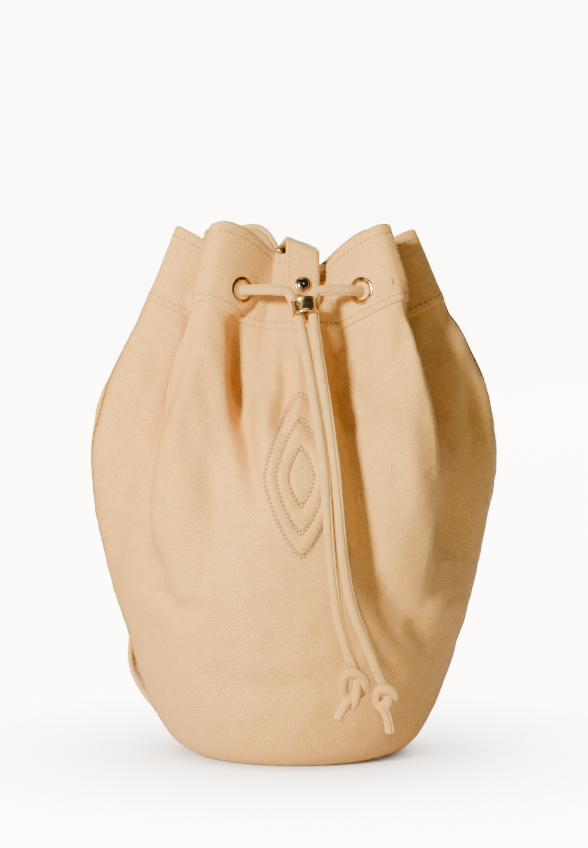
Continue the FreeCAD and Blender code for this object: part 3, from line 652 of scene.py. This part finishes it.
# Distances from the wall's outer surface to the outside and the inside of each layer.
BAND_OUT = 1.5
BAND_IN = -1.7
FACING_OUT = -1.9
LAYERS_IN = -3.6
LINING_OUT = -2.7
LINING_FOOT = 9.0
BAND_DEPTH = 44.0
STEPS = 300
FINE = 2.0
PANELS = {"front": (SEAM_LEFT + SEAM_GAP, SEAM_RIGHT - SEAM_GAP),
          "back": (SEAM_RIGHT + SEAM_GAP, SEAM_LEFT + 360.0 - SEAM_GAP)}
for side, (first, last) in PANELS.items():
    angles = spread(first, last, STEPS)
    levels = spread(1.0, BAND_LEVEL + 2.0, int(BAND_LEVEL / FINE))
    body = wall_layer("wall_" + side, angles, shell_profile(levels, 0.0, -LEATHER), leather)
    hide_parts("body_" + side)
    levels = spread(BAND_LEVEL, BAG_HEIGHT - 1.2, int(BAND_DEPTH / FINE))
    profile = shell_profile(levels, BAND_OUT, BAND_IN)
    band = wall_layer("top_band_" + side, angles, profile, leather)
    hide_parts("band_" + side)
    levels = spread(BAND_LEVEL - 3.0, BAG_HEIGHT - 2.5, int(BAND_DEPTH / FINE))
    profile = shell_profile(levels, FACING_OUT, LAYERS_IN)
    facing = wall_layer("rim_facing_" + side, angles, profile, inside_leather_painted_shade)
    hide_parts("facing_" + side)
    levels = spread(LINING_FOOT, BAND_LEVEL - 4.0, 90)
    profile = shell_profile(levels, LINING_OUT, LAYERS_IN)
    angles = spread(first, last, 160)
    lining = wall_layer("cloth_lining_" + side, angles, profile, lining_cloth)
    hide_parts("lining_" + side)

# ---------------------------------- turned metal


def rounded(corners, radius, steps=4):
    """Closed outline with each corner rounded."""
    loop = []
    count = len(corners)
    for i, corner in enumerate(corners):
        corner = np.array(corner, float)
        ends = []
        for other in (corners[i - 1], corners[(i + 1) % count]):
            way = np.array(other, float) - corner
            length = np.linalg.norm(way)
            ends.append(corner + way / length * min(radius, 0.45 * length))
        for u in np.linspace(0.0, 1.0, steps + 1):
            loop.append((1 - u) ** 2 * ends[0] + 2 * u * (1 - u) * corner + u * u * ends[1])
    return [tuple(p) for p in loop]


def lathe(name, corners, place, axis, material, body="bag", radius=0.5, steps=56):
    """Solid turned round an axis from (distance from the axis, height) corners."""
    on_axis = corners[0][0] == 0.0
    outline = rounded(corners, radius)
    if on_axis:
        outline = [(max(r, 0.02), h) for r, h in outline]
    axis = unit(np.asarray(axis, float))
    side = unit(np.cross(axis, (0.3, 0.2, 1.0)))
    other = np.cross(axis, side)
    turns = np.linspace(0.0, 2 * math.pi, steps, endpoint=False)[:, None, None]
    r = np.array([p[0] for p in outline])[None, :, None]
    h = np.array([p[1] for p in outline])[None, :, None]
    points = np.asarray(place) + (side * np.cos(turns) + other * np.sin(turns)) * r + axis * h
    faces = grid_faces(steps, len(outline), wrap_rows=True, wrap_columns=True)
    return add_mesh(name, points.reshape(-1, 3) * MM, faces, material, body)


EYELET_PROUD = 0.3
EYELET_CORNERS = [
    (4.6, -3.9), (5.3, -3.9), (5.3, 0.15), (EYELET_FLANGE, 0.15), (EYELET_FLANGE, 0.9), (7.6, 1.75),
    (5.9, 1.75), (4.6, 0.6),
]
for number, (point, normal) in enumerate(EYELETS, start=1):
    name = "eyelet_%02d" % number
    place = point + normal * EYELET_PROUD
    ring = lathe("brass_" + name, EYELET_CORNERS, place, normal, gold, radius=0.7)
    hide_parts(name)

# ---------------------------------- cords


def nurbs_line(name, route):
    """Points along the smooth line of a route: its NURBS spline as Blender draws it."""
    curve = bpy.data.curves.new(name, "CURVE")
    curve.dimensions = "3D"
    spline = curve.splines.new("NURBS")
    spline.points.add(len(route) - 1)
    for control, place in zip(spline.points, route):
        control.co = (*[float(v) for v in place], 1.0)
    spline.order_u = 3
    spline.use_endpoint_u = True
    spline.resolution_u = 16
    obj = bpy.data.objects.new(name, curve)
    mesh = bpy.data.meshes.new_from_object(obj)
    line = np.array([v.co[:] for v in mesh.vertices])
    bpy.data.meshes.remove(mesh)
    bpy.data.objects.remove(obj)
    bpy.data.curves.remove(curve)
    return line


def evenly(line, step):
    """The same line with points a fixed step apart."""
    lengths = np.concatenate([[0.0], np.cumsum(np.linalg.norm(np.diff(line, axis=0), axis=1))])
    places = np.linspace(0.0, lengths[-1], max(2, int(lengths[-1] / step)) + 1)
    return np.stack([np.interp(places, lengths, line[:, k]) for k in range(3)], axis=-1), places


def carried_frames(line, start_up):
    """Up and side at each point, with the up direction carried along without twist."""
    tangents = unit(np.gradient(line, axis=0))
    ups = np.empty_like(line)
    up = np.asarray(start_up, float)
    for i, tangent in enumerate(tangents):
        up = unit(up - tangent * (up @ tangent))
        ups[i] = up
    return ups, np.cross(tangents, ups)


def tube_faces(rows, columns):
    """Faces of a tube of closed sections, with both ends closed."""
    faces = grid_faces(rows, columns, wrap_columns=True)
    faces.append(tuple(reversed(range(columns))))
    faces.append(tuple((rows - 1) * columns + j for j in range(columns)))
    return faces


def swept(name, line, ups, sides, section, material, body="bag"):
    """Solid whose section (across, up) is carried along a line; section has a row for each point."""
    rows, columns = section.shape[:2]
    points = line[:, None] + sides[:, None] * section[..., :1] + ups[:, None] * section[..., 1:]
    return add_mesh(name, points.reshape(-1, 3), tube_faces(rows, columns), material, body)


CORD_RADIUS = 3.2
CORD_STEP = 0.0008


def cord_section(places, size=1.0, seed=0.0, groove=2.45):
    """Slightly flat roll of leather whose cut edge shows as a groove that wanders round the cord."""
    turns = np.linspace(0.0, 2 * math.pi, 72, endpoint=False)[None, :]
    along = places[:, None] / MM
    edge = groove + 0.3 * np.sin(along / 37.0 + seed) + 0.12 * np.sin(along / 15.0 + 2.0 * seed)
    away = np.angle(np.exp(1j * (turns - edge)))
    step = 0.42 * (1.0 / (1.0 + np.exp(-away / 0.05)) - 0.5) * np.exp(-np.abs(away) / 0.9)
    wrinkle = smooth_noise(np.stack(np.broadcast_arrays(
        along + 50 * seed, 3.0 * np.cos(turns), 3.0 * np.sin(turns)), axis=-1), (2.6, 4.0, 4.0))
    radius = CORD_RADIUS * size * (1.0 + 0.035 * wrinkle) - 0.8 * np.exp(-(away / 0.13) ** 2) + step
    across = radius * np.cos(turns) * 1.04
    up = radius * np.sin(turns) * 0.93
    return np.stack([across, up], axis=-1) * MM


def leather_cord(name, route, start_up, seed, size=0.94):
    """Cord mesh along a route in mm; returns it with the line that it follows, in metres."""
    line, places = evenly(nurbs_line(name + "_line", np.asarray(route) * MM), CORD_STEP)
    ups, sides = carried_frames(line[::-1], start_up)
    section = cord_section(places, size, seed)
    obj = swept(name, line, ups[::-1], -sides[::-1], section, cord_leather)
    return obj, line


CORD_REACH = 8.0
SIDE_REACH = 10.0
SIDE_EYELETS = (3, 4, 5, 6)
JOIN_DEPTH = 2.0
CORD_SPACING = 6.6
LEFT_SIDE = [4, 3, 8, 7, 12]
RIGHT_SIDE = [11, 10, 9, 6, 5]
BACK_BULGE = np.array([0.0, 4.0, 0.0])


def threaded(numbers):
    """Route through eyelets in the order that the cord meets them, outwards and inwards in turn."""
    points = []
    way = 1.0
    for number in numbers:
        point, axis = EYELETS[number - 1]
        step = axis * way * (SIDE_REACH if number in SIDE_EYELETS else CORD_REACH)
        points += [point - step, point + step]
        way = -way
    return points


(left_eyelet, left_axis), (right_eyelet, right_axis) = EYELETS[:2]
left_part = threaded(LEFT_SIDE)
right_part = threaded(RIGHT_SIDE[::-1])[::-1]
loop_route = [left_eyelet - left_axis * JOIN_DEPTH, left_eyelet - left_axis * CORD_REACH] + left_part
for share in (0.35, 0.65):
    loop_route.append(left_part[-1] + (right_part[0] - left_part[-1]) * share + BACK_BULGE)
loop_route += right_part
loop_route += [right_eyelet - right_axis * CORD_REACH, right_eyelet - right_axis * JOIN_DEPTH]
loop = leather_cord("drawstring_round_mouth", loop_route, (0, 0, 1), 1.3)[0]
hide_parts("drawstring_loop")

SLIDER_CENTRE = np.array([5.2, -57.0, 273.0])
SLIDER_TARGET = np.array([19.0, -97.0, 194.0])
cord_down = unit(SLIDER_TARGET - SLIDER_CENTRE)


def hanging_end(start, axis, side, hang):
    """Route from an eyelet to the slider, straight down to the belly and on to the knot."""
    half_space = RIGHT * 0.5 * CORD_SPACING * side
    out = start + axis * 7.0
    bend = SLIDER_CENTRE - cord_down * 10.5 + half_space
    towards = out + (bend - out) * 0.55 + np.array([0, -2.5, 1.0])
    hang = [np.array(point, float) for point in hang]
    return [start - axis * JOIN_DEPTH, out, towards, bend, SLIDER_TARGET + half_space] + hang


LEFT_HANG = [
    (18.2, -101.5, 160.0), (20.4, -102.5, 130.0), (23.4, -102.0, 103.0), (27.4, -100.8, 85.0),
    (32.0, -99.8, 71.5),
]
RIGHT_HANG = [
    (24.9, -101.5, 162.0), (27.0, -102.5, 132.0), (31.8, -102.0, 104.0), (40.5, -100.5, 82.0),
    (49.0, -99.5, 61.0),
]
# Overhand knot: (along the cord, across, towards the viewer), in strand widths.
OVERHAND = [
    (-0.6, 0.05, -0.6), (0.1, 0.1, 0.0), (0.7, 0.2, 0.6), (1.4, 0.5, 0.3),
    (1.5, 1.15, -0.4), (0.9, 1.75, -0.6), (0.0, 1.9, 0.0), (-0.8, 1.4, 0.5), (-0.75, 0.4, 0.7),
    (-0.5, -0.5, 0.4), (0.2, -0.9, -0.1), (0.65, -0.3, -0.6), (0.8, 0.5, -0.4), (1.15, 1.2, 0.5),
]


def knot_route(top, into, centre, scale, tail):
    """Overhand knot that begins inside the cord's end: scale is (down, across, towards the viewer)."""
    down, across, front = scale
    route = [np.array(top, float) - np.array(into) * 5.0, np.array(top, float) + np.array(into)]
    for a, b, c in OVERHAND:
        route.append(np.array([centre[0] - (b - 0.5) * across, centre[1] - c * front,
                               centre[2] - (a - 0.1) * down]))
    return route + [np.array(point, float) for point in tail]


LEFT_TAIL = [(29.0, -102.0, 46.0), (24.5, -101.0, 37.0)]
RIGHT_TAIL = [(54.0, -102.0, 39.0), (55.0, -101.0, 29.5)]
KNOTS = {
    "left": (LEFT_HANG[-1], (34.0, -99.5, 57.0), (9.0, 4.9, 4.8), LEFT_TAIL, 0.93),
    "right": (RIGHT_HANG[-1], (52.6, -99.5, 50.5), (5.4, 4.2, 4.4), RIGHT_TAIL, 0.92),
}
for side, start, axis, sign, hang in (("left", left_eyelet, left_axis, -1, LEFT_HANG),
                                      ("right", right_eyelet, right_axis, 1, RIGHT_HANG)):
    route = hanging_end(start, axis, sign, hang)
    cord, line = leather_cord("hanging_cord_" + side, route, (0, -1, 0), sign * 0.8)
    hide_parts("drawstring_" + side)
    top, centre, scale, tail, size = KNOTS[side]
    into = unit(np.array(hang[-1]) - np.array(hang[-2]))
    turns = knot_route(top, into, centre, scale, tail)
    knot = leather_cord("overhand_knot_" + side, turns, (0, -1, 0), 2.0 + sign, size)[0]
    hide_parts("knot_" + side)

SLIDER_CORNERS = [
    (6.9, -4.7), (7.7, -5.0), (8.3, -4.2), (7.7, -3.2), (7.6, 3.2), (8.3, 4.2), (7.7, 5.0), (6.9, 4.7),
]
ring = lathe("slider_ring", SLIDER_CORNERS, SLIDER_CENTRE, cord_down, gold, "slider", 0.6)
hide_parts("cord_slider")

# ---------------------------------- stitches

stitches = {"bag": ([], []), "tab": ([], [])}
STITCH_SIDES = 6
DEGREES_PER_RADIAN = 57.3


def sew(line, ups, pitch=3.3, length=2.5, width=0.42, body="bag", lift=0.12):
    """Adds a row of thread stitches along a line in mm whose surface normals are ups."""
    points, faces = stitches[body]
    lengths = np.concatenate([[0.0], np.cumsum(np.linalg.norm(np.diff(line, axis=0), axis=1))])
    count = int(lengths[-1] / pitch)
    for k in range(count):
        middle = (k + 0.5) * lengths[-1] / count
        ends = [np.array([np.interp(middle + step, lengths, line[:, a]) for a in range(3)])
                for step in (-0.5 * length, 0.5 * length)]
        up = unit(np.array([np.interp(middle, lengths, ups[:, a]) for a in range(3)]))
        way = ends[1] - ends[0]
        side = unit(np.cross(way, up))
        start = len(points)
        for u, fat in ((0.0, 0.25), (0.12, 0.8), (0.5, 1.0), (0.88, 0.8), (1.0, 0.25)):
            sink = lift - 0.35 * (2 * u - 1) ** 4
            for j in range(STITCH_SIDES):
                turn = 2 * math.pi * j / STITCH_SIDES
                points.append(ends[0] + way * u + up * (sink + width * fat * math.sin(turn))
                              + side * width * fat * math.cos(turn))
        faces.extend(grid_faces(5, STITCH_SIDES, False, True, start))
        faces.append(tuple(start + j for j in reversed(range(STITCH_SIDES))))
        faces.append(tuple(start + 4 * STITCH_SIDES + j for j in range(STITCH_SIDES)))


def sew_on_wall(angles, levels, outwards):
    """Adds a row of stitches on the wall, a distance outside its surface."""
    sew(off_wall(angles, levels, outwards), normals_of(wall, angles, levels))


RIM_STITCH_LEVEL = 317.6
SEAM_STITCH_LEVEL = 282.6
SEAM_STITCH_INSET = 3.4
for first, last in PANELS.values():
    angles = np.linspace(first + 0.5, last - 0.5, 700)
    for level in (RIM_STITCH_LEVEL, SEAM_STITCH_LEVEL):
        sew_on_wall(angles, np.full(angles.shape, level), BAND_OUT)
for seam in (SEAM_LEFT, SEAM_RIGHT):
    levels = np.linspace(6.0, BAND_LEVEL - 4.0, 300)
    for side in (-SEAM_STITCH_INSET, SEAM_STITCH_INSET):
        spin = side / np.maximum(half_width(levels), 1.0) * DEGREES_PER_RADIAN
        sew_on_wall(seam + spin, levels, 0.0)

# ---------------------------------- motif on the front

front_wall = bpy.data.objects["wall_front"].data
front_tree = BVHTree.FromPolygons([v.co[:] for v in front_wall.vertices],
                                  [p.vertices[:] for p in front_wall.polygons])


def on_front(x, z):
    """Point and normal of the front of the wall at (x, z), in mm."""
    place, normal = front_tree.ray_cast(Vector((x * MM, -0.3, z * MM)), Vector((0, 1, 0)))[:2]
    return np.array(place) / MM, np.array(normal)


MOTIF_ROW_GAP = 0.025


def motif_outline(ring, steps=160):
    """(x, z) points where motif_ring has one value."""
    outline = []
    for k in range(steps + 1):
        turn = 2 * math.pi * k / steps
        c, s = math.cos(turn), math.sin(turn)
        power = 2.0 / MOTIF_POWER
        outline.append((MOTIF_CENTRE[0] + ring * MOTIF_SIZE[0] * math.copysign(abs(c) ** power, c),
                        MOTIF_CENTRE[1] + ring * MOTIF_SIZE[1] * math.copysign(abs(s) ** power, s)))
    return outline


def sew_on_front(outline):
    """Adds a row of short stitches on the front along an outline of (x, z) points."""
    found = [on_front(x, z) for x, z in outline]
    line = np.array([place for place, normal in found])
    ups = np.array([normal if normal[1] < 0 else -normal for place, normal in found])
    sew(line, ups, pitch=2.5, length=1.9, width=0.55, lift=0.3)


for ring in MOTIF_RINGS:
    for inset in (-MOTIF_ROW_GAP, MOTIF_ROW_GAP):
        sew_on_front(motif_outline(ring + inset))

# ---------------------------------- closure tab

TAB_HALF = 10.0
TAB_LENGTH = 46.0
TAB_SHOULDER = 31.0
TAB_TIP_HALF = 2.2
TAB_THICK = 2.6
SNAP_DROP = 23.0
STANDOFF = 2.9
fold = snap_point + snap_normal * (STANDOFF + 0.5 * TAB_THICK) - tab_down * SNAP_DROP
BACK_ANGLE = 177.5
BACK_STANDOFF = 3.8
TAB_SLANT = 0.42
SLANT_REACH = 13.0
TAB_SIDESTEP = 5.0
TAB_STITCH_INSET = 1.9


def tab_line():
    """Middle line of the tab, in mm, from its foot on the back band to its tip."""
    route = []
    for level in (284.0, 292.0, 301.0, 310.0, 319.0):
        place = plain_wall(BACK_ANGLE, level) + normals_of(plain_wall, BACK_ANGLE, level) * BACK_STANDOFF
        place[0] = TAB_X
        route.append(place)
    for y, z in ((45.0, -9.5), (34.0, -5.5), (18.0, -0.6), (7.0, 2.0), (0.5, 1.4)):
        route.append(np.array([TAB_X, fold[1] + y, fold[2] + z]))
    for along in (4.0, 12.0, 23.0, 34.0, TAB_LENGTH):
        route.append(fold + tab_down * along + snap_normal * (0.6 if along < 10 else 0.0))
    return evenly(nurbs_line("tab_line", route), 0.5)


line, places = tab_line()
tab_fold_place = places[np.argmax(line[:, 2] - 0.35 * line[:, 1])]
from_fold = places - tab_fold_place
total = places[-1]
shoulder = total - (TAB_LENGTH - TAB_SHOULDER)
half = np.interp(places, [0, shoulder, total - 1.0, total], [TAB_HALF, TAB_HALF, TAB_TIP_HALF, 1.2])
tangents = unit(np.gradient(line, axis=0))
ups = unit(np.cross(tangents, RIGHT))
sides = np.broadcast_to(RIGHT, line.shape)
across = []
for u in np.linspace(-1.0, 1.0, 25):
    across.append((u, math.sqrt(max(0.0, 1.0 - abs(u) ** 14))))
outline = np.array(across + [(u, -h) for u, h in reversed(across[1:-1])])
section = np.empty((len(line), len(outline), 2))
section[..., 0] = outline[None, :, 0] * half[:, None]
crown = 0.35 * (1.0 - outline[None, :, 0] ** 2)
section[..., 1] = outline[None, :, 1] * 0.5 * TAB_THICK + crown
slant = TAB_SLANT * np.exp(-(from_fold / SLANT_REACH) ** 2)[:, None]
points = line[:, None] + sides[:, None] * section[..., :1] + ups[:, None] * section[..., 1:]
points[..., 2] -= section[..., 0] * slant
behind_fold = ease(-from_fold / 22.0) * ease((places - 45.0) / 30.0)
points[..., 0] -= TAB_SIDESTEP * behind_fold[:, None]
crease = smooth_noise(points, (6.0, 5.0, 3.0))
points += ups[:, None] * (0.25 * crease * np.exp(-(from_fold / 9.0) ** 2)[:, None])[..., None]
faces = tube_faces(*points.shape[:2])
tab = add_mesh("tab_leather", points.reshape(-1, 3) * MM, faces, leather, None)
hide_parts("closure_tab")
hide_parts("closure_tab_root")
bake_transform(tab)

after_fold = from_fold > 2.0
for side in (-1, 1):
    inset = np.maximum(half - TAB_STITCH_INSET, 0.3) * side
    edge = line + RIGHT * inset[:, None] + ups * (0.5 * TAB_THICK + 0.12)
    edge[:, 2] -= inset * slant[:, 0]
    keep = after_fold & (places < total - 2.0)
    sew(edge[keep], ups[keep], pitch=2.9, length=2.1, width=0.36, body="tab", lift=0.05)

tab_front = snap_point + snap_normal * (STANDOFF + TAB_THICK + 0.3)
STUD_RING_CORNERS = [(0.0, -0.8), (5.0, -0.8), (5.0, 0.9), (4.3, 1.7), (0.0, 1.7)]
STUD_DOME_CORNERS = [(0.0, 0.5), (3.9, 0.5), (3.7, 2.0), (2.2, 2.6), (0.0, 2.8)]
RIVET_CORNERS = [(0.0, -1.6), (1.9, -1.0), (2.1, 0.4), (1.3, 1.6), (0.0, 1.9)]
RIVET_PLACE = np.array([-9.8, fold[1] + 1.0, fold[2] - 1.5])
RIVET_WAY = (-0.45, -0.85, 0.1)
cap = lathe("stud_cap_ring", STUD_RING_CORNERS, tab_front, snap_normal, gold, "tab", 0.5)
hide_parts("snap_cap")
# The stud's dome is coloured dark: a painted reflection of the dark room in polished brass.
lathe("stud_cap_dome", STUD_DOME_CORNERS, tab_front, snap_normal, gold_with_painted_reflection, "tab", 1.2)
ball = lathe("tab_rivet_ball", RIVET_CORNERS, RIVET_PLACE, RIVET_WAY, gold, "bag", 1.0)
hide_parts("tab_rivet")

# ---------------------------------- straps and their fastenings

# Angle, level and distance from the wall of the left strap, from the anchor patch down to its foot.
STRAP_ROUTE = [
    (172.0, 236.0, 2.4), (171.0, 224.0, 3.4), (167.0, 206.0, 4.4), (160.0, 184.0, 5.2),
    (151.0, 156.0, 5.6), (141.0, 127.0, 6.5), (131.0, 98.0, 9.5), (122.0, 72.0, 15.0),
    (115.0, 51.0, 17.5), (110.0, 36.0, 11.0), (108.0, 25.0, 3.8), (107.5, 18.0, 2.4),
]
STRAP_HALF = 10.0
STRAP_THICK = 3.0
STRAP_CROWN = 0.3
STRAP_STITCH_INSET = 2.2
DEPTH_RATIO = 0.83


def smooth_bag_normal(angle, level):
    """Normal of the bag without its valleys."""
    radians = math.radians(angle)
    rise = (half_width(level + 2.0) - half_width(level - 2.0)) / 4.0
    return unit(np.array([math.sin(radians), -math.cos(radians) / DEPTH_RATIO, -float(rise)]))


for side, sign, looseness, further_back in (("left", -1, 1.0, 0.0), ("right", 1, 0.5, 9.0)):
    route, turned_ups = [], []
    for angle, level, distance in STRAP_ROUTE:
        turn = sign * (angle + further_back * (1.0 - level / STRAP_ROUTE[0][1]))
        stand = 2.0 + looseness * (distance - 2.0)
        place = plain_wall(turn, level) + normals_of(plain_wall, turn, level) * stand
        route.append(place)
        turned_ups.append(smooth_bag_normal(turn, level))
    line, places = evenly(nurbs_line("strap_line_" + side, route), 0.8)
    share = np.linspace(0.0, 1.0, len(line))
    known = np.linspace(0.0, 1.0, len(turned_ups))
    ups = np.stack([np.interp(share, known, np.array(turned_ups)[:, k]) for k in range(3)], axis=-1)
    tangents = unit(np.gradient(line, axis=0))
    ups = unit(ups - tangents * np.sum(ups * tangents, axis=-1, keepdims=True))
    sides = np.cross(tangents, ups)
    section = np.empty((len(line), len(outline), 2))
    section[..., 0] = outline[None, :, 0] * STRAP_HALF
    crown = STRAP_CROWN * (1.0 - outline[None, :, 0] ** 2)
    section[..., 1] = outline[None, :, 1] * 0.5 * STRAP_THICK + crown
    strap = swept("strap_" + side, line * MM, ups, sides, section * MM, leather)
    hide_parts("shoulder_strap_" + side)
    for edge in (-1, 1):
        inset = sides * edge * (STRAP_HALF - STRAP_STITCH_INSET)
        sew(line + inset + ups * (0.5 * STRAP_THICK + 0.1), ups)

ANCHOR_OUT = 5.0
profile = shell_profile(spread(237.0, 259.0, 30), ANCHOR_OUT, 0.6)
patch = wall_layer("anchor_patch", spread(163.5, 194.5, 60), profile, leather)
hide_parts("strap_anchor")
# Corners of the row of stitches round the patch: angle and level.
corners = np.array([(164.8, 238.4), (193.2, 238.4), (193.2, 257.6), (164.8, 257.6), (164.8, 238.4)])
walk = np.linspace(0, len(corners) - 1, 240)
sew_on_wall(np.interp(walk, range(len(corners)), corners[:, 0]),
            np.interp(walk, range(len(corners)), corners[:, 1]), ANCHOR_OUT)

STRAP_FEET = {"left": -107.5, "right": 115.9}
FOOT_HALF_ANGLE = 8.5
profile = shell_profile(spread(5.0, 17.0, 14), 3.4, 0.2)
for side, middle in STRAP_FEET.items():
    angles = spread(middle - FOOT_HALF_ANGLE, middle + FOOT_HALF_ANGLE, 30)
    foot = wall_layer("strap_foot_patch_" + side, angles, profile, leather)
    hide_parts("strap_foot_" + side)

PIPING_HALF_ANGLE = 1.1
profile = shell_profile(spread(2.0, BAND_LEVEL + 1.0, 150), 1.1, -1.2)
for side, seam in (("left", SEAM_LEFT), ("right", SEAM_RIGHT)):
    angles = spread(seam - PIPING_HALF_ANGLE, seam + PIPING_HALF_ANGLE, 10)
    piping = wall_layer("seam_piping_" + side, angles, profile, leather)
    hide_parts("side_piping_" + side)

# ---------------------------------- stitching pieces, finishes of CAD pieces

for body, (points, faces) in stitches.items():
    add_mesh("stitching_" + body, np.array(points) * MM, faces, brown_thread, body)

FINISHES = {"base_panel": leather, "base_board": board_face, "lining_base": lining_cloth,
            "eyelet_washers": gold, "snap_socket": gold, "snap_stud": gold, "snap_post": gold}
for name, look in FINISHES.items():
    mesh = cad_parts[name].data
    for index in range(len(mesh.materials)):
        mesh.materials[index] = look

# ---------------------------------- floor and its finish

CONTACT_SHADOW_REACH = 0.16
CONTACT_SHADOW_DEPTH = 2.2
floor = bpy.data.meshes.new("floor")
floor.from_pydata([(-3, -3, 0), (3, -3, 0), (3, 3, 0), (-3, 3, 0)], [], [(0, 1, 2, 3)])
floor_object = bpy.data.objects.new("floor", floor)
bpy.context.scene.collection.objects.link(floor_object)
floor_look = Shader("floor")
floor_look.value("Base Color", (0.75, 0.72, 0.69, 1)).value("Roughness", 0.9)
floor_look.value("Emission Color", STUDIO_WHITE)
# The floor's glow, seen by the camera, is dimmed by ambient occlusion near the bag: a painted contact
# shadow.
open_sky = floor_look.add("ShaderNodeAmbientOcclusion", samples=8)
open_sky.inputs["Distance"].default_value = CONTACT_SHADOW_REACH
glow = seen_and_lit(floor_look.tree, BACKDROP_SEEN, 0.0)
shadow = floor_look.maths("POWER", open_sky.outputs["AO"], CONTACT_SHADOW_DEPTH)
glow = floor_look.maths("MULTIPLY", glow, shadow)
floor_look.link(glow, floor_look.principled.inputs["Emission Strength"])
floor.materials.append(floor_look.material)
